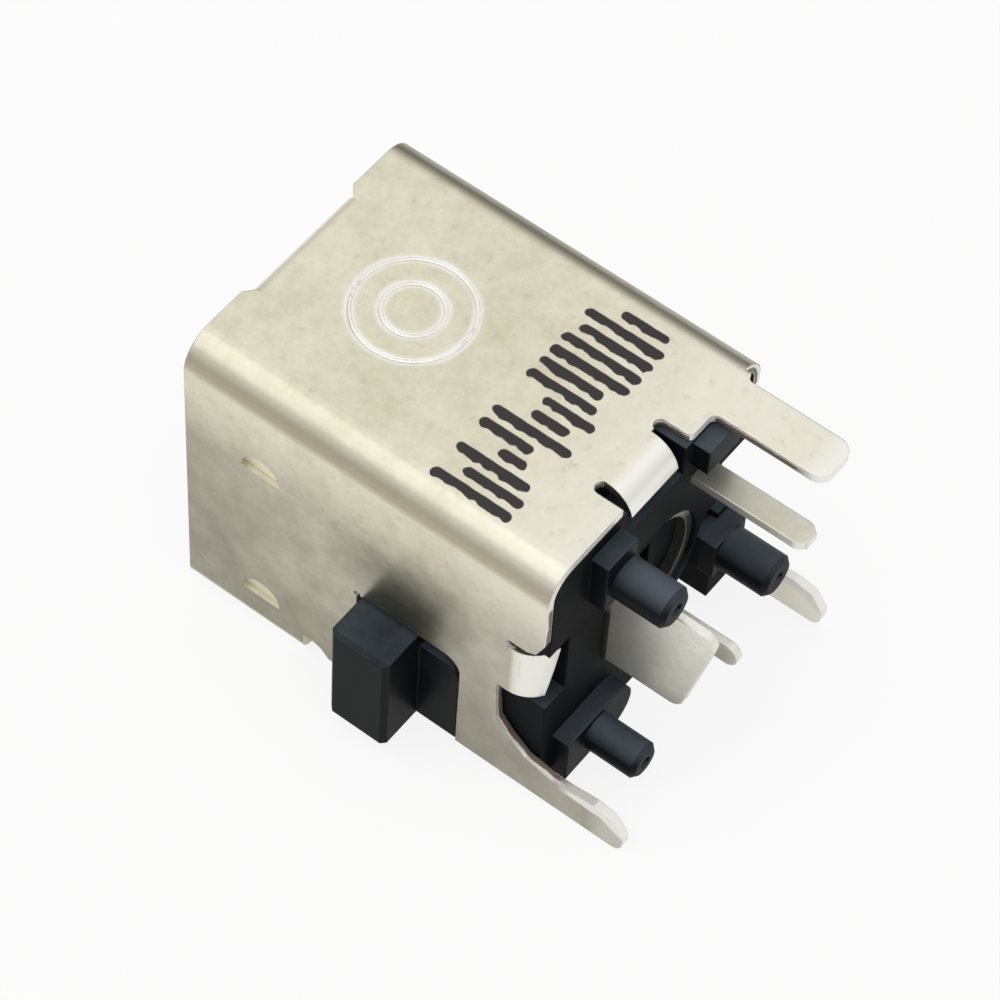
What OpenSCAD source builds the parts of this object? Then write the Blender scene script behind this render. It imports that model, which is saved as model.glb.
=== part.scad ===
// Straight-through DC power jack for a 7.4 mm barrel plug with a centre signal pin.
// A folded tin-plated shell holds a black moulding, and the moulding holds three contacts.
// The plug goes in along Y from the mouth at y = 0. Pins, pegs and legs leave the rear at +Y.
// The origin is on the plug axis, in the plane of the mouth. Sizes are in millimetres.

/* [Shell] */
// Width over the two side walls
shell_width = 10.4; // [9.6:0.1:12]
// Height from the lower edge of the rear side walls to the top sheet
shell_height = 10.7; // [10:0.1:12]
// Height of the plug axis above the lower edge of the rear side walls
axis_height = 5.05; // [4.8:0.05:5.4]
// Depth from the mouth to the rear edge of the top sheet
shell_depth = 13; // [12:0.1:16]
// Thickness of the folded sheet
sheet = 0.3; // [0.2:0.05:0.4]
// Outside radius of the two long bends beside the top sheet
top_bend = 1.1; // [0.7:0.05:1.5]
// Depth of the closed band round the mouth
band_depth = 4.4; // [3:0.1:6]
// How far the closed band hangs below the rear side walls
band_drop = 0.8; // [0.4:0.05:1.2]
// Outside radius of the two bends under the closed band
band_bend = 0.5; // [0.4:0.05:0.8]
// Radius of the half-moon lances that grip the moulding
lance_radius = 0.7; // [0.5:0.05:1]
// How far each lance is pressed in at its slit
lance_set = 0.14; // [0.08:0.02:0.3]
// Radius of the ring coined in the top sheet
coin_radius = 1.85; // [1.2:0.05:2.5]

/* [Solder legs] */
// Width of the leg that continues the top sheet
top_leg_width = 1.55; // [1.2:0.05:2]
// Reach of that leg behind the rear edge
top_leg_reach = 3.8; // [3:0.1:5]
// Height of the two side legs at their root
side_leg_height = 1.3; // [1:0.05:1.8]
// Reach of the two side legs behind the rear edge
side_leg_reach = 3.3; // [3:0.05:5]

/* [Moulding] */
// Bore that takes the plug
plug_bore = 7.8; // [7.6:0.05:8]
// Wider mouth of that bore
mouth_bore = 8.3; // [8:0.05:8.6]
// Depth of the wider mouth behind the shell's front edge
mouth_depth = 1.5; // [1:0.05:2]
// Depth of the bore that takes the plug, behind the shell's front edge
plug_depth = 9.6; // [9:0.1:10.5]
// Distance of the moulding's front face behind the mouth
front_set = 0.45; // [0.4:0.05:0.8]
// How far the board stand-offs stand behind the rear edge
standoff = 0.6; // [0.4:0.05:1]
// Reach of the board pegs behind the stand-offs
peg_reach = 1.8; // [1.4:0.1:2.4]
// How far the side block stands out of the shell
block_out = 1.45; // [1:0.05:2]

/* [Contacts] */
// Outside diameter of the sleeve that goes inside the plug
sleeve_outer = 4.8; // [4.6:0.05:5]
// Wall of the sleeve
sleeve_wall = 0.3; // [0.2:0.05:0.4]
// Distance of the sleeve's tip behind the mouth
sleeve_set = 1.6; // [1:0.1:3]
// Bore that takes the plug's centre pin
pin_bore = 1.2; // [1:0.05:1.4]
// Width of the earth spring
spring_width = 0.88; // [0.82:0.02:1.2]

/* [Hidden] */
$fn = 64;
half = shell_width / 2;
roof = shell_height - axis_height;
sill = -axis_height;
floor_z = sill - band_drop;
rear = shell_depth;
gap = 0.05;
seat = rear + standoff;
side_leg_top = sill + side_leg_height;
spring_x = -2.18;
block_top = sill + 4.1;
lance_heights = [1.9, -4.4];

// Places an outline drawn in X and Z, and runs it along Y.
module along_y(from, to) {
    translate([0, to, 0]) rotate([90, 0, 0]) linear_extrude(height = to - from) children();
}

// Places an outline drawn in Y and Z, and runs it along X.
module along_x(from, to) {
    translate([from, 0, 0]) rotate([90, 0, 90]) linear_extrude(height = to - from) children();
}

// Outline with two round upper corners and a flat lower edge.
module arch(half_width, top, bottom, radius) {
    translate([-half_width, bottom]) square([2 * half_width, top - radius - bottom]);
    translate([radius - half_width, top - radius - 0.05])
        square([2 * (half_width - radius), radius + 0.05]);
    for (side = [-1, 1])
        translate([side * (half_width - radius), top - radius]) circle(radius);
}

// Outline with round upper corners and smaller round lower corners.
module ring_outline(half_width, top, bottom, upper, lower) {
    arch(half_width, top, bottom + lower, upper);
    translate([lower - half_width, bottom])
        square([2 * (half_width - lower), lower + 0.05]);
    for (side = [-1, 1])
        translate([side * (half_width - lower), bottom + lower]) circle(lower);
}

// Quarter or smaller piece of a bent sheet, seen along the bend, starting on the +Y side.
module bend(outer, angle) {
    intersection() {
        difference() {
            circle(outer);
            circle(outer - sheet);
        }
        polygon([[0, 0], [2 * outer, 0], [2 * outer, 2 * outer * tan(min(angle, 45))],
            [angle > 45 ? 2 * outer / tan(angle) : 2 * outer, 2 * outer * tan(min(angle, 45))]]);
    }
}

// Strip with one rounded far end, lying from y = 0 to y = length.
module leg(width, length, radius) {
    square([length - radius, width]);
    translate([length - radius, radius]) circle(radius);
    translate([length - radius, width - radius]) circle(radius);
    translate([length - radius - 0.01, radius])
        square([radius + 0.01, width - 2 * radius]);
}

// Outline of a side leg in Y and Z: flared root, slightly raised top edge, slanted round tip.
module side_leg() {
    tip = rear + side_leg_reach;
    polygon([[rear - 0.6, sill], [tip - 0.4, sill], [tip, sill + 0.4], [tip, sill + 0.75],
        [tip - 0.42, side_leg_top + 0.02], [tip - 1.1, side_leg_top + 0.14],
        [rear + 1.2, side_leg_top + 0.02], [rear + 0.7, side_leg_top],
        [rear - 0.3, side_leg_top + 0.25], [rear - 0.6, side_leg_top + 0.4]]);
    translate([tip - 0.4, sill + 0.4]) circle(0.4);
}

// ---- shell ----

// One half-moon lance of a side wall: a slit with the metal above it pressed inwards.
module lance(y, z) {
    translate([half - sheet - lance_set, y, z]) rotate([0, asin(lance_set / lance_radius), 0])
        rotate([90, 0, 90]) linear_extrude(height = sheet - 0.02)
            intersection() {
                circle(lance_radius + 0.06);
                translate([-1, 0]) square([2, 1]);
            }
}

// The opening that a lance leaves in its wall.
module lance_window(y, z) {
    along_x(half - 1, half + 1) translate([y, z]) intersection() {
        circle(lance_radius);
        translate([-1, -0.07]) square([2, 1]);
    }
}

// Everything cut from the side wall on the +X side.
module left_cuts() {
    along_x(half - 1, half + 1) {
        // window for the side block
        translate([6.4, sill - 2]) square([3.8, 5.6]);
        translate([6.4, sill - 2]) square([3.2, 6.2]);
        translate([9.6, sill + 3.6]) circle(0.6);
        translate([6.42, sill + 4.22]) circle(0.12);
        // slot above the folded tab, and the cut-back below it
        translate([11.9, 1.75]) circle(0.2);
        polygon([[11.9, 1.95], [12.45, 1.95], [12.75, 2.1], [13.05, 2.8], [20, 2.8],
            [20, side_leg_top], [13.7, side_leg_top], [12.7, side_leg_top + 0.25],
            [12, side_leg_top + 0.85], [11.6, side_leg_top + 1.35], [11.5, -0.9],
            [11.55, -0.62], [11.9, -0.62]]);
    }
}

// Everything cut from the side wall on the -X side.
module right_cuts() {
    along_x(-half - 1, 1 - half)
        polygon([[11.6, 3.6], [12.2, 4.2], [20, 4.2], [20, side_leg_top], [13.7, side_leg_top],
            [12.7, side_leg_top + 0.25], [12, side_leg_top + 0.85], [11.6, side_leg_top + 1.3]]);
    // shorter end of the bend beside the top leg
    translate([-half - 1, 12.8, 2]) cube([1.9, 2, roof]);
}

module shell() color("LightGray") {
    difference() {
        union() {
            // walls and top sheet
            along_y(0, rear) difference() {
                arch(half, roof, floor_z + band_bend, top_bend);
                arch(half - sheet, roof - sheet, floor_z - 1, top_bend - sheet);
            }
            // closed band round the mouth
            along_y(0, band_depth) difference() {
                ring_outline(half, roof, floor_z, top_bend, band_bend);
                ring_outline(half - sheet, roof - sheet, floor_z + sheet,
                    top_bend - sheet, band_bend - sheet);
            }
        }
        // seam under the band
        translate([-0.06, -1, floor_z - 1]) cube([0.12, band_depth + 2, 1 + 2 * sheet]);
        // lower edge of both side walls, with a relief notch behind the band
        along_x(-half - 1, half + 1)
            polygon([[band_depth, floor_z - 1], [band_depth, sill + 0.12],
                [band_depth + 0.35, sill + 0.12], [band_depth + 0.7, sill],
                [band_depth + 1.1, sill - 0.4], [6.4, sill - 0.4], [6.8, sill],
                [rear + 9, sill], [rear + 9, floor_z - 1]]);
        left_cuts();
        right_cuts();
        for (z = lance_heights) {
            lance_window(2.8, z);
            mirror([1, 0, 0]) lance_window(2.8, z);
        }
        // step back to the front lip, with slanted sides
        translate([0, 0, roof - 1]) linear_extrude(height = 2)
            polygon([[-2.5, -1], [-2.5, 0], [-2.14, 0.3], [-2.14, 0.5], [2.24, 0.5],
                [2.24, 0.3], [2.6, 0], [2.6, -1]]);
        // rear slots beside the folded top tab
        for (x = [-1.19, 1.57]) {
            translate([x, 12.1, roof - 1]) cylinder(h = 2, r = 0.23);
            translate([x - 0.23, 12.1, roof - 1]) cube([0.46, 2, 2]);
        }
        translate([-1, 12, roof - 1]) cube([2.4, 3, 2]);
        // round corner of the top sheet beside the slot
        translate([-1.42, rear, roof - 1]) linear_extrude(height = 2) difference() {
            translate([-0.2, -0.2]) square(0.5);
            translate([-0.2, -0.2]) circle(0.2);
        }
        // coined ring in the top sheet
        for (radius = [coin_radius, coin_radius - 0.9])
            translate([0, 4.2, roof]) rotate_extrude() translate([radius, 0]) circle(0.06);
    }
    // front lip, folded down in front of the moulding
    along_x(-2.14, 2.24) {
        translate([0.5, roof - 0.42]) rotate(90) bend(0.42, 90);
        translate([0.08, roof - 1.05]) square([sheet, 0.64]);
        translate([0.49, roof - sheet]) square([0.4, sheet]);
    }
    // top tab, folded down behind the moulding
    along_x(-0.86, 1.34) {
        translate([12, roof - 1.05]) rotate(10) bend(1.05, 80);
        translate([11.9, roof - sheet]) square([0.12, sheet]);
    }
    // side tab, folded in behind the moulding
    difference() {
        translate([0, 0, -0.62]) linear_extrude(height = 2.17) {
            translate([half - 1.15, 11.85]) bend(1.15, 79);
            translate([half - sheet, 11.5]) square([sheet, 0.36]);
        }
        // slanted free edge
        along_y(12, 14) polygon([[4.66, -0.7], [4.26, 1.6], [3, 1.6], [3, -0.7]]);
    }
    // leg that continues the top sheet
    translate([-4.05, rear - 0.2, roof - sheet]) linear_extrude(height = sheet)
        mirror([1, 0]) rotate(90) leg(top_leg_width, top_leg_reach + 0.2, 0.5);
    // fillets in both corners at the root of that leg
    for (side = [0, 1]) translate([side ? -4.05 : top_leg_width - 4.05, rear, roof - sheet])
        mirror([side, 0, 0]) linear_extrude(height = sheet) difference() {
            translate([-0.05, -0.05]) square(0.3);
            translate([0.25, 0.25]) circle(0.25);
        }
    // two side legs
    for (x = [half - sheet, -half]) along_x(x, x + sheet) side_leg();
    for (z = lance_heights) {
        lance(2.8, z);
        mirror([1, 0, 0]) lance(2.8, z);
    }
}

// ---- moulding ----

// One board peg: a root in the stand-off, a straight shank, a chamfered end and a core hole.
module peg(x, z, radius, root) {
    translate([x, seat, z]) rotate([-90, 0, 0]) difference() {
        union() {
            translate([0, 0, -1.1]) cylinder(h = 1.1, r = root);
            translate([0, 0, -0.1]) cylinder(h = peg_reach - 0.05, r = radius);
            translate([0, 0, peg_reach - 0.15]) cylinder(h = 0.15, r1 = radius, r2 = radius - 0.15);
        }
        translate([0, 0, peg_reach - 0.4]) cylinder(h = 1, r = 0.22);
    }
}

// Stand-off block on the rear face, from its low corner to its high corner.
module standoff_block(x0, x1, z0, z1) {
    translate([x0, rear - 0.3, z0]) cube([x1 - x0, standoff + 0.3, z1 - z0]);
}

module housing() color("#1d1d22") difference() {
    union() {
        difference() {
            along_y(front_set, rear)
                arch(half - sheet - gap, roof - sheet - gap, sill + gap, top_bend - sheet - gap);
            // deep pocket beside the sleeve, open to the rear and below
            along_y(11, rear + 1) difference() {
                translate([-3.6, sill - 1]) square([2.6, 6.3]);
                circle(2.64);
            }
            // corner beside the root of the top leg
            translate([-half, 12.35, 3.2]) cube([1.15, 2, 3]);
        }
        translate([0.65 - half, front_set, floor_z + sheet + gap])
            cube([shell_width - 1.3, band_depth - front_set - gap, band_drop]);
        // side block, with its upright outer edges and its top outer edge chamfered
        intersection() {
            translate([0, 0, sill - 0.1]) linear_extrude(height = block_top - sill + 0.1)
                polygon([[4, 6.55], [half + block_out - 0.15, 6.55], [half + block_out, 6.7],
                    [half + block_out, 8.5], [half + block_out - 0.15, 8.65], [4, 8.65]]);
            along_y(6, 9) polygon([[3, sill - 1], [half + block_out, sill - 1],
                [half + block_out, block_top - 0.15], [half + block_out - 0.15, block_top],
                [3, block_top]]);
        }
        // plinth of the block, which fills the window nearly flush with the wall
        along_x(4, half - 0.12) {
            translate([8, sill - 0.1]) square([2.1, 3.1]);
            translate([8, sill - 0.1]) square([1.6, 3.6]);
            translate([9.6, sill + 3]) circle(0.5);
        }
        standoff_block(1.8, 3.2, 2.75, 4.8);
        standoff_block(-3.1, -1.55, 4.2, 5.2);
        standoff_block(-4.25, -2.7, -2.4, -0.86);
        // broad stand-off with a round inner end
        along_y(rear - 0.3, seat) {
            translate([2.05, sill + 0.15]) square([2.25, 1.8]);
            translate([2.05, sill + 1.05]) circle(0.9);
        }
        peg(2.3, 3.5, 0.69, 0.73);
        peg(-3.46, -1.6, 0.72, 0.7);
        peg(2.9, -3.9, 0.62, 0.66);
    }
    // plug bore, with a wider mouth that guides the plug in
    translate([0, -1, 0]) rotate([-90, 0, 0]) cylinder(h = plug_depth + 1, d = plug_bore);
    translate([0, -1, 0]) rotate([-90, 0, 0]) cylinder(h = 1 + mouth_depth, d = mouth_bore);
    translate([0, mouth_depth - 0.001, 0]) rotate([-90, 0, 0])
        cylinder(h = 0.25, d1 = mouth_bore, d2 = plug_bore);
    // hole that the sleeve is pressed into, open to the rear and closed beside its tail
    difference() {
        translate([0, plug_depth - 1, 0]) rotate([-90, 0, 0])
            cylinder(h = rear, d = sleeve_outer + 0.04);
        translate([2.15, 12.4, -2]) cube([1, 3, 4]);
    }
    // slot for the flat tail of the sleeve
    translate([1.5, rear - 1.1, -1.7]) cube([0.65, 3, 4.45]);
    // slot for the earth spring, beside the bore and through the rear wall
    translate([spring_x - 0.05 - spring_width / 2, 2.2, 2])
        cube([spring_width + 0.1, plug_depth - 2.2, 2.1]);
    translate([spring_x - 0.05 - spring_width / 2, plug_depth - 1, 3])
        cube([spring_width + 0.1, 9, 0.4]);
    // clearance for the folded tabs of the shell
    translate([-1.2, 11.8, roof - 1.6]) cube([2.8, 3, 3]);
    translate([half - 1.3, 11.5, -0.95]) cube([3, 3, 2.7]);
    // lances of the shell press into these four flats
    for (side = [0, 1], z = lance_heights)
        mirror([side, 0, 0]) translate([half - sheet - 0.25, 1.9, z - 0.1]) cube([1, 1.8, 1]);
    // side cut beside the rear wall, where the shell wall is cut back too
    translate([-half, 11.55, -0.6]) cube([half - 3.4, 3, 2.8]);
}

// ---- sleeve contact ----

module sleeve() color("Silver") {
    difference() {
        union() {
            translate([0, sleeve_set + 0.15, 0]) rotate([-90, 0, 0])
                cylinder(h = rear - sleeve_set - 0.3, d = sleeve_outer);
            translate([0, sleeve_set, 0]) rotate([-90, 0, 0])
                cylinder(h = 0.15, d1 = sleeve_outer - 0.3, d2 = sleeve_outer);
        }
        translate([0, sleeve_set - 1, 0]) rotate([-90, 0, 0])
            cylinder(h = rear + 2, d = sleeve_outer - 2 * sleeve_wall);
        // butt seam of the rolled sheet
        translate([-0.06, sleeve_set - 1, -3]) cube([0.12, rear + 2, 2]);
        // the sheet leaves the round here and runs flat into the tail
        translate([-0.4, rear - 0.65, -3]) cube([3, 3, 6]);
        translate([1.5, rear - 1, -3]) cube([2, 3, 6]);
    }
    along_x(1.75, 2.05) {
        polygon([[rear - 2, -1.2], [rear - 0.95, -1.2], [rear - 0.95, -1.55], [15.4, -1.55],
            [15.84, -1.28], [16.58, 2], [16.2, 2.65], [rear - 0.95, 2.65], [rear - 0.95, 1.2],
            [rear - 2, 1.2]]);
        translate([15.4, -1.1]) circle(0.45);
        translate([16.15, 2.2]) circle(0.45);
    }
}

// ---- insulating core ----

module core() color("#232327") difference() {
    translate([0, sleeve_set + 0.5, 0]) rotate([-90, 0, 0])
        cylinder(h = 10.4, d = sleeve_outer - 2 * sleeve_wall - 0.04);
    translate([0, sleeve_set, 0]) rotate([-90, 0, 0]) cylinder(h = 2.2, d = pin_bore);
    // flat that clears the tail of the sleeve
    translate([1.7, rear - 2.1, -3]) cube([2, 3, 6]);
    // cell for the signal contact, open to the rear
    translate([-0.72, 3.6, -0.7]) cube([1.44, 12, 1.4]);
}

// ---- signal contact ----

module signal() color("Silver") {
    // two tines and the web that joins them
    for (x = [-0.67, 0.4])
        translate([x, 3.8, -0.4]) cube([0.27, 5.4, 0.8]);
    translate([-0.67, 6.6, -0.66]) cube([1.34, 2.6, 0.28]);
    // blade through the rear
    along_x(0.4, 0.67) {
        translate([9, -0.32]) square([7.25, 0.82]);
        translate([16.25, 0.09]) circle(0.41);
    }
}

// ---- earth spring ----

module spring() color("Silver") intersection() {
    along_x(spring_x - spring_width / 2, spring_x + spring_width / 2)
        polygon([[2.6, 3.55], [4.4, 2.6], [5.2, 2.6], [7.8, 3.5], [8.3, 3.5], [8.8, 3.05],
            [17, 3.05], [17, 3.35], [8.95, 3.35], [8.45, 3.8], [7.7, 3.8], [5.1, 2.9],
            [4.5, 2.9], [2.75, 3.82]]);
    // plan outline with a round tip
    linear_extrude(height = 6) {
        translate([spring_x - spring_width / 2, 2]) square([spring_width, 14.5]);
        translate([spring_x + 0.2 - spring_width / 2, 2]) square([spring_width - 0.4, 14.9]);
        for (side = [-1, 1])
            translate([spring_x + side * (spring_width / 2 - 0.4), 16.5]) circle(0.4);
    }
}

shell();
housing();
sleeve();
core();
signal();
spring();
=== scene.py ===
import math
import bpy
from functools import cached_property
from mathutils import Matrix, Vector

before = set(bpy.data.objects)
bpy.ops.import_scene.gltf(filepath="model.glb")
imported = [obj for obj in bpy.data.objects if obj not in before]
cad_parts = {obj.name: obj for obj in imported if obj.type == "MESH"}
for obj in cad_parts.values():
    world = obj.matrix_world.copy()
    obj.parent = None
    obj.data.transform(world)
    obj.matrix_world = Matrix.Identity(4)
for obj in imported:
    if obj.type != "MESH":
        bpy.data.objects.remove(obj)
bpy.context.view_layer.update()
mm = 0.001
white = (1, 1, 1, 1)
print("frame loaded:", sorted(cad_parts))


cameraView = {
    "target": (0.36, 7.90, -0.10),  # mm, in the row frame
    "azimuth": 33.96,               # degrees from +X towards +Y
    "elevation": 55.08,
    "roll": 4.28,
    "distance": 121.6,              # mm
    "lens": 149.2,
    "sensor": 36,
    "clip": (0.005, 5),             # metres
}


def addCamera(view):
    around = math.radians(view["azimuth"])
    up = math.radians(view["elevation"])
    roll = Matrix.Rotation(math.radians(view["roll"]), 3, "Z")
    level = math.cos(up)
    towards = Vector((level * math.cos(around), level * math.sin(around), math.sin(up)))
    data = bpy.data.cameras.new("productCamera")
    camera = bpy.data.objects.new("productCamera", data)
    bpy.context.scene.collection.objects.link(camera)
    turned = towards.to_track_quat("Z", "Y").to_matrix() @ roll
    place = (Vector(view["target"]) + towards * view["distance"]) * mm
    camera.matrix_world = Matrix.Translation(place) @ turned.to_4x4()
    data.lens = view["lens"]
    data.sensor_width = view["sensor"]
    data.clip_start, data.clip_end = view["clip"]
    bpy.context.scene.camera = camera


addCamera(cameraView)
print("camera placed")


class Wire:
    # one output socket that can stand in arithmetic
    def __init__(self, paint, socket):
        self.paint = paint
        self.socket = socket

    def do(self, operation, first, second=0.0, clamp=False):
        settings = {"operation": operation, "use_clamp": clamp}
        return self.paint.node("ShaderNodeMath", settings, {0: first, 1: second})

    def __add__(self, other):
        return self.do("ADD", self, other)

    def __sub__(self, other):
        return self.do("SUBTRACT", self, other)

    def __rsub__(self, other):
        return self.do("SUBTRACT", other, self)

    def __mul__(self, other):
        return self.do("MULTIPLY", self, other)

    def __truediv__(self, other):
        return self.do("DIVIDE", self, other)

    __radd__ = __add__
    __rmul__ = __mul__

    def floor(self):
        return self.do("FLOOR", self)

    def size(self):
        return self.do("ABSOLUTE", self)

    def least(self, other):
        return self.do("MINIMUM", self, other)

    def most(self, other):
        return self.do("MAXIMUM", self, other)

    def root(self):
        return self.do("SQRT", self)

    def ramp(self, zeroAt, oneAt):
        # straight between the two values and flat beyond them, in either direction
        return self.do("MULTIPLY", self - zeroAt, 1.0 / (oneAt - zeroAt), clamp=True)

    def near(self, centre, reach, soft):
        # 1 close to the centre, falling to 0 at the reach
        return (self - centre).size().ramp(reach, reach - soft)


def reachOf(first, second):
    # distance from the origin of a point with these two coordinates
    return (first * first + second * second).root()


class Paint:
    # adds nodes to one node tree
    def __init__(self, tree):
        self.tree = tree

    def node(self, kind, settings=None, values=None, output=0):
        made = self.tree.nodes.new(kind)
        for name, value in (settings or {}).items():
            setattr(made, name, value)
        for name, value in (values or {}).items():
            self.join(value, made.inputs[name])
        return Wire(self, made.outputs[output])

    def join(self, value, socket):
        if isinstance(value, Wire):
            self.tree.links.new(value.socket, socket)
        else:
            socket.default_value = value

    def split(self, vector):
        first = self.node("ShaderNodeSeparateXYZ", {}, {0: vector})
        return [Wire(self, socket) for socket in first.socket.node.outputs]

    def blend(self, factor, first, second):
        settings = {"data_type": "RGBA", "clamp_factor": True}
        return self.node("ShaderNodeMix", settings, {0: factor, 6: first, 7: second}, 2)

    def ray(self, kind):
        # 1 for a ray of this kind
        return self.node("ShaderNodeLightPath", output=f"Is {kind} Ray")


class Finish(Paint):
    # a material with one Principled shader
    def __init__(self, name, **constants):
        self.material = bpy.data.materials.new(name)
        self.material.use_nodes = True
        super().__init__(self.material.node_tree)
        self.shader = self.tree.nodes["Principled BSDF"]
        for socket, value in constants.items():
            self.shader.inputs[socket.replace("_", " ")].default_value = value

    @cached_property
    def place(self):
        return self.node("ShaderNodeTexCoord", output="Object")

    def millimetres(self):
        values = {0: self.place, "Scale": 1 / mm}
        return self.split(self.node("ShaderNodeVectorMath", {"operation": "SCALE"}, values))

    def upward(self):
        # 1 on a face that points straight up
        return self.split(self.node("ShaderNodeNewGeometry", output="Normal"))[2]

    def noise(self, scale, detail, rough):
        values = {"Vector": self.place, "Scale": scale, "Detail": detail, "Roughness": rough}
        return self.node("ShaderNodeTexNoise", {}, values)

    def set(self, socket, value):
        self.join(value, self.shader.inputs[socket])

    def relief(self, height, edge):
        # height in millimetres, over edges softened by a radius in millimetres
        soft = self.node("ShaderNodeBevel", {"samples": 6}, {"Radius": edge * mm})
        values = {"Strength": 1.0, "Distance": mm, "Height": height, "Normal": soft}
        self.set("Normal", self.node("ShaderNodeBump", {}, values))


def rgb(red, green, blue):
    # screen values of 0 to 255 as the linear colour a socket takes
    shares = [value / 255 for value in (red, green, blue)]
    linear = [c / 12.92 if c <= 0.04045 else ((c + 0.055) / 1.055) ** 2.4 for c in shares]
    return (*linear, 1.0)


# the folded shell: places in mm that its finish follows
sheet = {
    "half": 5.2,               # outer face of a side wall
    "roof": 5.65,
    "bend": 1.1,               # outer radius of the two long folds
    "thickness": 0.3,
    "roofFrom": (4.3, 4.4),    # Z, walls below and roof above
    "rear": 13.0,              # rear edge of roof and walls
    "front": 5.0,              # cut edges in front of this Y get less painted highlight, and no burrs
    "bandFold": -5.1,          # Z under which the mouth band folds and has no cut edge
    "tabs": (11.9, 14.2),      # Y, both folded tabs
    "roofTab": (0.24, 1.26),   # X, centre and half width
    "sideTab": (0.46, 1.3),    # Z, centre and half width
    "sideTabFrom": 4.0,        # X
    "burrEnds": (14.3, 16.3),  # Y where burrs end on the side legs and on the top leg
    "tips": (15.0, 15.9),      # Y where the painted highlight on the tips of those legs begins
    "legs": 13.9,              # Y where the painted highlight band on a side leg begins
    "legBand": (-3.98, -3.3),  # Z, its lower and upper border
    "legDrop": (15.5, 0.6),    # Y where its lower border starts to drop, and how steeply
    "coinCentre": (0.0, 4.2),
    "coinRadii": (1.85, 0.95),
    "coinLine": (0.22, 0.16),  # half width of a painted highlight line, and how much of it is soft
    "coinFrom": 5.5,           # Z
}
tin = {
    "pale": rgb(236, 232, 212),
    "warm": rgb(209, 203, 176),
    # painted shade that tones down the highlight on the long folds
    "foldShade": rgb(182, 178, 162),
    # painted shade along the lower part of the folds; also the colour of the small spots
    "creaseShadeAndSpot": rgb(160, 148, 122),
    "farFoldShade": rgb(116, 111, 86),    # painted shade, a dark reflection along the fold away from the side block
    "wallShadeTone": rgb(137, 134, 119),    # painted shade on the side walls, under their cloudy stains
    # painted reflection of the side block on the wall
    "darkReflection": rgb(78, 77, 70),
    "paintedHighlight": rgb(252, 251, 246),   # painted highlight on coined lines, cut edges over their burnish, leg tips, leg edges and tabs, and towards the rear
    "burr": rgb(92, 66, 46),       # torn metal on sheared edges
    # noises: how many waves to the metre, detail and roughness
    "cloud": (240.0, 4.0, 0.6),
    "mottle": (1100.0, 5.0, 0.65),
    "speck": (3600.0, 3.0, 0.7),
    "spot": (2600.0, 2.0, 0.6),
    "wave": (110.0, 1.0, 0.5),
    # shares of one tone over another
    "spots": 0.18,
    "rearHighlight": 0.3,
    "foldShadeShare": 0.5,
    "creaseShadeShare": 0.6,
    "wallShadeAndStain": 0.28,
    "stains": 0.3,
    "lowShade": 0.6,
    "blockReflection": 0.6,
    "highlight": 0.85,
    "tabHighlight": 0.8,
    "burrs": 0.9,
    "scattered": 0.65,         # scattered light on sheared edges
    # mm, where a tone begins and where it is full
    "paintedLightAlong": (7.5, 13.5),
    "highlightAlong": (9.0, 13.0),
    "farShadeAcross": (-4.2, -4.95),
    "farShadeUp": (4.4, 5.0),
    "wallDown": (4.3, 1.7),
    "lowDown": (1.5, -5.0),
    "lowAlong": (8.0, -1.0),
    "blockReflectionPlace": (7.9, 0.9, 2.2),  # Y, Z and reach of a painted reflection of the side block, above it
    "rough": 0.33,
    "cloudRough": 0.14,
    "speckRough": 0.12,
    "markRough": 0.2,          # added by burrs and by ink
    "edge": 0.05,              # mm of softening on every edge
    "ripple": 0.014,           # mm, slow waves from the press
    "grain": 0.0016,           # mm, skin of the plating
    "burrHeight": 0.03,        # mm
}
ink = {
    "colour": rgb(38, 31, 31),
    "from": -3.95,             # mm, first and last stroke along X
    "to": 4.25,
    "pitch": 0.55,
    "half": 0.185,             # half width of a stroke
    "soft": 0.035,             # how much of that is its soft border
    "low": 8.2,                # mm, ends of the longest strokes along Y
    "high": 10.6,
    "lowCut": 1.1,             # mm, most that a stroke is short at either end
    "highCut": 1.2,
    "lowWhole": 0.55,          # share of the strokes that are whole there
    "highWhole": 0.5,
    "seed": 7.3,
    "wobble": (2600.0, 1.0, 0.5),
    "sway": 0.16,              # mm, how far a stroke wanders sideways
    "ragged": 0.12,            # mm, how uneven its border is
    "thickness": 0.004,        # mm
}


def inkMask(paint, x, y, z):
    # plain strokes side by side, each cut shorter by its own amount
    column = (x - ink["from"]) / ink["pitch"]
    index = column.floor()
    values = {"W": index + ink["seed"]}
    ends = paint.node("ShaderNodeTexWhiteNoise", {"noise_dimensions": "1D"}, values, "Color")
    lowEnd, highEnd = paint.split(ends)[:2]
    wobble = paint.noise(*ink["wobble"]) - 0.5
    side = (column - index - 0.5) * ink["pitch"] + wobble * ink["sway"]
    low = lowEnd.ramp(ink["lowWhole"], 1.0) * ink["lowCut"] + ink["low"]
    high = ink["high"] - highEnd.ramp(ink["highWhole"], 1.0) * ink["highCut"]
    along = (y - high).most(low - y).most(0.0)
    fromStroke = reachOf(side, along) + wobble * ink["ragged"]
    inside = x.ramp(ink["from"], ink["from"] + 0.01) * x.ramp(ink["to"], ink["to"] - 0.01)
    onTop = z.ramp(sheet["roof"] - 0.03, sheet["roof"] - 0.02)
    return fromStroke.ramp(ink["half"], ink["half"] - ink["soft"]) * inside * onTop


def tabMask(x, y, z, depth, onRoof):
    # the two rear tabs, where they curve away from the sheet
    first, last = sheet["tabs"]
    roofCentre, roofHalf = sheet["roofTab"]
    sideCentre, sideHalf = sheet["sideTab"]
    roofTab = onRoof * x.near(roofCentre, roofHalf, 0.04)
    onSide = x.ramp(sheet["sideTabFrom"], sheet["sideTabFrom"] + 0.1)
    sideTab = onSide * z.near(sideCentre, sideHalf, 0.04)
    along = y.ramp(first, first + 0.1) * y.ramp(last, last - 0.1)
    return along * depth.ramp(0.0, 0.08) * roofTab.most(sideTab)


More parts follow.
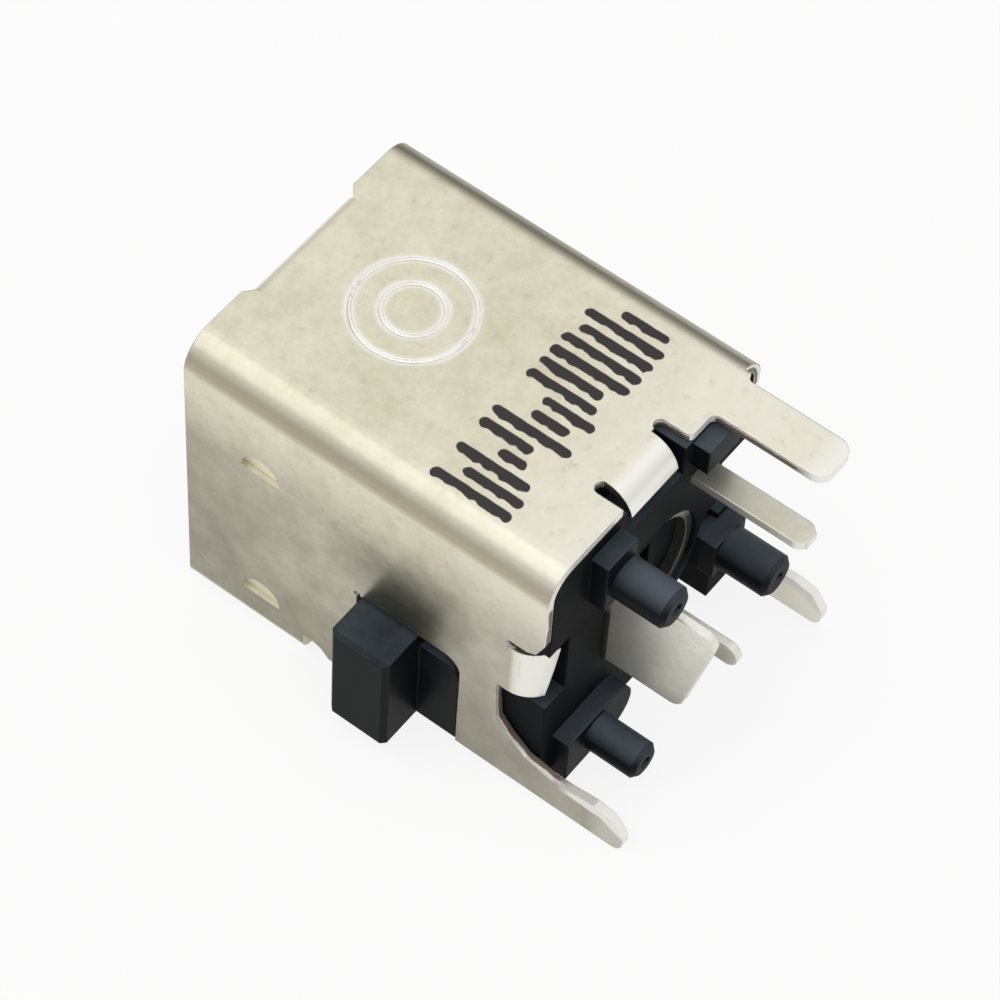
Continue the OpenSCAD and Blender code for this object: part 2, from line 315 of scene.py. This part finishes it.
def shearedMask(y, z, depth, onTabs):
    # cut faces of the sheet, between its two skins
    inner = sheet["thickness"] - 0.01
    between = depth.ramp(0.02, 0.05) * depth.ramp(inner, inner - 0.03)
    aboveFold = z.ramp(sheet["bandFold"], sheet["bandFold"] + 0.1)
    # less painted highlight on cut edges in front
    share = y.ramp(sheet["front"], sheet["front"] + 0.2) * 0.75 + 0.25
    return between * (1.0 - onTabs) * aboveFold * share


def tornMask(y, depth, uneven, onRoof, sheared):
    # the rougher inner part of a cut face, left out at the roof's rear edge
    sideEnd, roofEnd = sheet["burrEnds"]
    end = onRoof * (roofEnd - sideEnd) + sideEnd
    rearEdge = onRoof * y.near(sheet["rear"], 0.1, 0.02)
    torn = (depth + uneven * 0.3).ramp(0.08, 0.15) * sheared * (end - y).ramp(0.0, 0.5)
    return torn * (1.0 - rearEdge) * y.ramp(sheet["front"], sheet["front"] + 0.2)


def tipHighlightMask(y, mottle, onRoof):
    # painted highlight on the ends of the legs
    sideStart, roofStart = sheet["tips"]
    past = y - sideStart - onRoof * (roofStart - sideStart) + mottle * 0.6
    return past.ramp(0.3, 0.9) * (onRoof * 0.3 + 0.4)


def edgeHighlightMask(y, z, uneven, onRoof):
    # painted highlight band along the upper edge of each side leg
    lower, upper = sheet["legBand"]
    dropFrom, slope = sheet["legDrop"]
    above = (z - lower + (y - dropFrom).most(0.0) * slope + uneven * 0.35).ramp(0.0, 0.05)
    onLeg = y.ramp(sheet["legs"], sheet["legs"] + 0.5)
    return above * onLeg * (1.0 - onRoof) * z.ramp(upper, upper - 0.1)


def coinedMask(x, y, z, uneven):
    # painted highlight lines on the two coined rings
    centreX, centreY = sheet["coinCentre"]
    outer, inner = sheet["coinRadii"]
    half, soft = sheet["coinLine"]
    radius = reachOf(x - centreX, y - centreY)
    nearest = (radius - outer).size().least((radius - inner).size())
    line = (half - nearest + uneven * 0.3).ramp(0.0, soft)
    return line * z.ramp(sheet["coinFrom"], sheet["coinFrom"] + 0.01)


def blockReflectionMask(x, y, z, uneven, onWall):
    # painted reflection of the side block on the wall above it, longer than it is high
    centreY, centreZ, reach = tin["blockReflectionPlace"]
    alongPart, upPart = y - centreY, z - centreZ
    radius = (alongPart * alongPart * 0.5 + upPart * upPart).root()
    within = (reach - radius + uneven * 0.8).ramp(0.0, reach)
    return within * onWall.ramp(0.0, 0.3) * x.ramp(0.0, 0.1)


def tinFinish(name):
    paint = Finish(name)
    x, y, z = paint.millimetres()
    cloud = paint.noise(*tin["cloud"])
    mottle = paint.noise(*tin["mottle"])
    speck = paint.noise(*tin["speck"])
    uneven = mottle - 0.5  # ragged borders for the marks below

    # plating in cloudy tones with small spots; painted light makes it paler and brighter to the
    # rear
    tone = cloud.ramp(0.3, 0.72) * 0.35 + mottle.ramp(0.36, 0.66) * 0.4
    tone = (tone + speck.ramp(0.35, 0.65) * 0.25) * (1.0 - y.ramp(*tin["paintedLightAlong"]) * 0.6)
    colour = paint.blend(tone, tin["pale"], tin["warm"])
    rearLight = y.ramp(*tin["highlightAlong"])
    colour = paint.blend(rearLight * tin["rearHighlight"], colour, tin["paintedHighlight"])
    spot = paint.noise(*tin["spot"]).ramp(0.62, 0.74)
    colour = paint.blend(spot * tin["spots"], colour, tin["creaseShadeAndSpot"])

    # how far past the flat roof and wall, and how deep under the outer skin
    across = (x.size() - (sheet["half"] - sheet["bend"])).most(0.0)
    up = (z - (sheet["roof"] - sheet["bend"])).most(0.0)
    depth = sheet["bend"] - reachOf(across, up)
    onRoof = z.ramp(*sheet["roofFrom"])

    # painted shade: the fold is darker than the flat sheet to tone down its highlight, most of
    # all along its lower part
    skin = depth.ramp(0.03, 0.01)
    foldShade = across.ramp(0.05, 0.45) * up.ramp(0.0, 0.4) * skin
    colour = paint.blend(foldShade * tin["foldShadeShare"], colour, tin["foldShade"])
    # painted shade band along the lower part of the fold
    creaseShadeAndSpot = up.near(0.4, 0.34, 0.25) * skin
    colour = paint.blend(creaseShadeAndSpot * tin["creaseShadeShare"], colour, tin["creaseShadeAndSpot"])
    # painted shade, a dark reflection along the far fold
    farFoldShading = x.ramp(*tin["farShadeAcross"]) * z.ramp(*tin["farShadeUp"])
    colour = paint.blend(farFoldShading * (cloud * 0.4 + 0.45), colour, tin["farFoldShade"])

    # painted shade on the side walls, darkest low at the front, under cloudy stains
    onWall = depth.ramp(0.02, 0.0) * z.ramp(*tin["wallDown"])
    low = z.ramp(*tin["lowDown"]) * 0.5 + y.ramp(*tin["lowAlong"]) * 0.3
    stain = (cloud + uneven * 0.35).ramp(0.32, 0.68)
    wallShadeAndStain = stain * tin["stains"] + low * tin["lowShade"] + tin["wallShadeAndStain"]
    colour = paint.blend(onWall * wallShadeAndStain, colour, tin["wallShadeTone"])
    # painted reflection of the side block on the wall
    blockReflection = blockReflectionMask(x, y, z, uneven, onWall)
    colour = paint.blend(blockReflection * tin["blockReflection"], colour, tin["darkReflection"])

    # painted highlights on coined lines, cut edges (partly their own burnish), leg tips, upper
    # leg edges and tabs, then burrs
    onTabs = tabMask(x, y, z, depth, onRoof)
    sheared = shearedMask(y, z, depth, onTabs)
    torn = tornMask(y, depth, uneven, onRoof, sheared)
    edgeHighlight = edgeHighlightMask(y, z, uneven, onRoof)
    highlight = coinedMask(x, y, z, uneven).most(sheared)
    highlight = highlight.most(tipHighlightMask(y, mottle, onRoof)).most(edgeHighlight) * tin["highlight"]
    colour = paint.blend(highlight.most(onTabs * tin["tabHighlight"]), colour, tin["paintedHighlight"])
    colour = paint.blend(torn * tin["burrs"], colour, tin["burr"])

    inked = inkMask(paint, x, y, z)
    colour = paint.blend(inked, colour, ink["colour"])
    rough = tin["rough"] + (cloud - 0.5) * tin["cloudRough"] + (speck - 0.5) * tin["speckRough"]
    height = paint.noise(*tin["wave"]) * tin["ripple"] + speck * tin["grain"]
    height = height + inked * ink["thickness"] + torn * mottle * tin["burrHeight"]
    paint.set("Base Color", colour)
    paint.set("Roughness", rough + torn * tin["markRough"] + inked * tin["markRough"])
    paint.set("Metallic", 1.0 - inked.most(sheared.most(edgeHighlight) * tin["scattered"]))
    paint.relief(height, tin["edge"])
    return paint.material


contact = {
    "pale": rgb(246, 245, 238),
    "warm": rgb(222, 220, 206),
    "darkReflection": rgb(44, 46, 46),  # painted reflection inside the sleeve, which sees only black plastic
    "darkShare": 0.85,
    "cloud": (420.0, 4.0, 0.6),
    "speck": (3000.0, 3.0, 0.7),
    "wave": (180.0, 1.0, 0.5),
    "metal": 0.78,            # share of mirror against scattered light
    "rough": 0.3,
    "cloudRough": 0.14,
    "speckRough": 0.1,
    "edge": 0.06,             # mm
    "ripple": 0.008,
    "grain": 0.0012,
    "bore": 2.1,              # mm, inner radius of the sleeve
    "rim": (1.3, 13.15),      # mm, the rim is painted dark as reflected shade below this Z and in front of this Y
}


def contactFinish(name, hollow):
    paint = Finish(name, Metallic=contact["metal"])
    x, y, z = paint.millimetres()
    cloud = paint.noise(*contact["cloud"])
    speck = paint.noise(*contact["speck"])
    tone = cloud.ramp(0.3, 0.7) * 0.6 + speck.ramp(0.35, 0.75) * 0.4
    colour = paint.blend(tone, contact["pale"], contact["warm"])
    if hollow:
        # painted reflection: the bore and the lower rim are dark
        rimTop, rimEnd = contact["rim"]
        inside = reachOf(x, z).ramp(contact["bore"] + 0.04, contact["bore"] + 0.01)
        shaded = inside.most(z.ramp(rimTop, rimTop - 0.5)) * y.ramp(rimEnd, rimEnd - 0.05)
        colour = paint.blend(shaded * contact["darkShare"], colour, contact["darkReflection"])
    rough = contact["rough"] + (cloud - 0.5) * contact["cloudRough"]
    height = paint.noise(*contact["wave"]) * contact["ripple"] + speck * contact["grain"]
    paint.set("Base Color", colour)
    paint.set("Roughness", rough + (speck - 0.5) * contact["speckRough"])
    paint.relief(height, contact["edge"])
    return paint.material


moulding = {
    "black": rgb(7, 7, 10),
    "topLight": rgb(88, 97, 106),  # painted highlight on faces that point up
    "cloud": (420.0, 4.0, 0.6),
    "grit": (5200.0, 2.0, 0.6),
    "gloss": 0.07,
    "rough": 0.42,
    "cloudRough": 0.22,
    "rear": (10.8, 13.1),      # mm, the rear wall and its pockets along Y
    "rearRough": 0.2,          # how much duller they are
    "pegs": 13.5,              # mm, where stand-offs end and pegs begin
    "topLightShare": (0.5, 0.3, 0.25),  # in clouds, everywhere, and more on the pegs
    "edge": 0.09,              # mm
    "grain": 0.003,
}


def mouldingFinish(name):
    paint = Finish(name, Metallic=0.0, Specular_IOR_Level=moulding["gloss"])
    y = paint.millimetres()[1]
    cloud = paint.noise(*moulding["cloud"])
    rearStart, rearEnd = moulding["rear"]
    atRear = y.ramp(rearStart, rearStart + 0.6) * y.ramp(rearEnd, rearEnd - 0.06)
    onPeg = y.ramp(moulding["pegs"], moulding["pegs"] + 0.2)
    # painted highlight: lighter on faces that point up, most on the pegs, in cloudy patches
    inClouds, everywhere, onPegs = moulding["topLightShare"]
    topLightShare = cloud.ramp(0.3, 0.7) * inClouds + everywhere + onPeg * onPegs
    topLightShare = topLightShare * (paint.upward().ramp(0.4, 1.0) * 0.9 + 0.05)
    rough = moulding["rough"] + (cloud - 0.5) * moulding["cloudRough"]
    paint.set("Base Color", paint.blend(topLightShare, moulding["black"], moulding["topLight"]))
    paint.set("Roughness", rough + atRear * moulding["rearRough"])
    paint.relief(paint.noise(*moulding["grit"]) * moulding["grain"], moulding["edge"])
    return paint.material


def dress(node, material):
    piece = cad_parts[node]
    piece.data.materials.clear()
    piece.data.materials.append(material)


dress("shell", tinFinish("tinPlateMarked"))
dress("sleeve", contactFinish("sleeveTin", hollow=True))
for node in ("signal", "spring"):
    dress(node, contactFinish("contactTin", hollow=False))
for node in ("housing", "core"):
    dress(node, mouldingFinish("blackMoulding"))
print("finishes made")


floorPlan = {
    "frontLine": (4.4, -5.85),   # mm, Y and Z of the front band's rear lower edge
    "rearLine": (15.9, -5.05),   # mm, Y and Z under the side legs' tips
    "gap": 0.01,                 # mm under the lowest edge
    "half": 400.0,
    "colour": rgb(240, 240, 238),
    "rough": 0.8,
    "gloss": 0.1,
    "shadow": 0.14,              # share of the real shading that the camera sees
    "mirrored": 0.45,            # share of the white that reflections see
}
studio = {
    "zenith": 0.97,              # brightness straight up, 1 is white
    "horizon": 0.6,
    "haze": 0.7,                 # height at which the zenith's brightness is reached
    "darkSide": (-0.93, -0.35, 0.1),  # direction of the unlit end of the room
    "darkSpread": (0.76, 0.97),
    "darkDepth": 0.47,
}
keyLamp = {
    "from": (0.34, -0.33, 0.88),
    "distance": 210,             # mm
    "size": 170,
    "glow": 0.62,                # 1 is as bright as white
}


def addFloor(plan):
    bpy.ops.object.select_all(action="DESELECT")
    bpy.ops.mesh.primitive_plane_add(size=2 * plan["half"] * mm)
    floor = bpy.context.object
    floor.name = "studioFloor"
    (nearY, nearZ), (farY, farZ) = plan["frontLine"], plan["rearLine"]
    slope = math.atan2(farZ - nearZ, farY - nearY)
    place = Vector((0, nearY, nearZ - plan["gap"])) * mm
    floor.matrix_world = Matrix.Translation(place) @ Matrix.Rotation(slope, 4, "X")
    paint = Finish("paleFloor", Base_Color=plan["colour"], Roughness=plan["rough"],
                   Specular_IOR_Level=plan["gloss"])
    reflected = paint.ray("Glossy").most(paint.ray("Transmission"))
    share = paint.ray("Camera") * (1 - plan["shadow"]) + reflected * plan["mirrored"]
    glow = paint.node("ShaderNodeEmission", {}, {"Color": white, "Strength": 1.0})
    shaders = {0: share, 1: Wire(paint, paint.shader.outputs[0]), 2: glow}
    mixed = paint.node("ShaderNodeMixShader", {}, shaders)
    paint.join(mixed, paint.tree.nodes["Material Output"].inputs["Surface"])
    floor.data.materials.append(paint.material)


def addSky(light):
    world = bpy.data.worlds.new("softStudio")
    bpy.context.scene.world = world
    world.use_nodes = True
    paint = Paint(world.node_tree)
    background = paint.tree.nodes["Background"]
    x, y, z = paint.split(paint.node("ShaderNodeTexCoord", output="Generated"))
    rise = light["zenith"] - light["horizon"]
    level = z.ramp(0.0, light["haze"]) * rise + light["horizon"]
    darkX, darkY, darkZ = light["darkSide"]
    towardsDark = x * darkX + y * darkY + z * darkZ
    level = level - towardsDark.ramp(*light["darkSpread"]) * light["darkDepth"]
    background.inputs["Color"].default_value = white
    paint.join(level.most(paint.ray("Camera")), background.inputs["Strength"])


def addSoftbox(name, light):
    # a square lamp that looks as bright as "glow" times white
    side = light["size"] * mm
    data = bpy.data.lights.new(name, "AREA")
    data.size = side
    data.energy = light["glow"] * math.pi * side * side
    lamp = bpy.data.objects.new(name, data)
    bpy.context.scene.collection.objects.link(lamp)
    towards = Vector(light["from"]).normalized()
    lamp.location = towards * light["distance"] * mm
    lamp.rotation_mode = "QUATERNION"
    lamp.rotation_quaternion = towards.to_track_quat("Z", "Y")


addFloor(floorPlan)
addSky(studio)
addSoftbox("keySoftbox", keyLamp)
bpy.context.scene.view_settings.view_transform = "Standard"
print("floor and light placed")
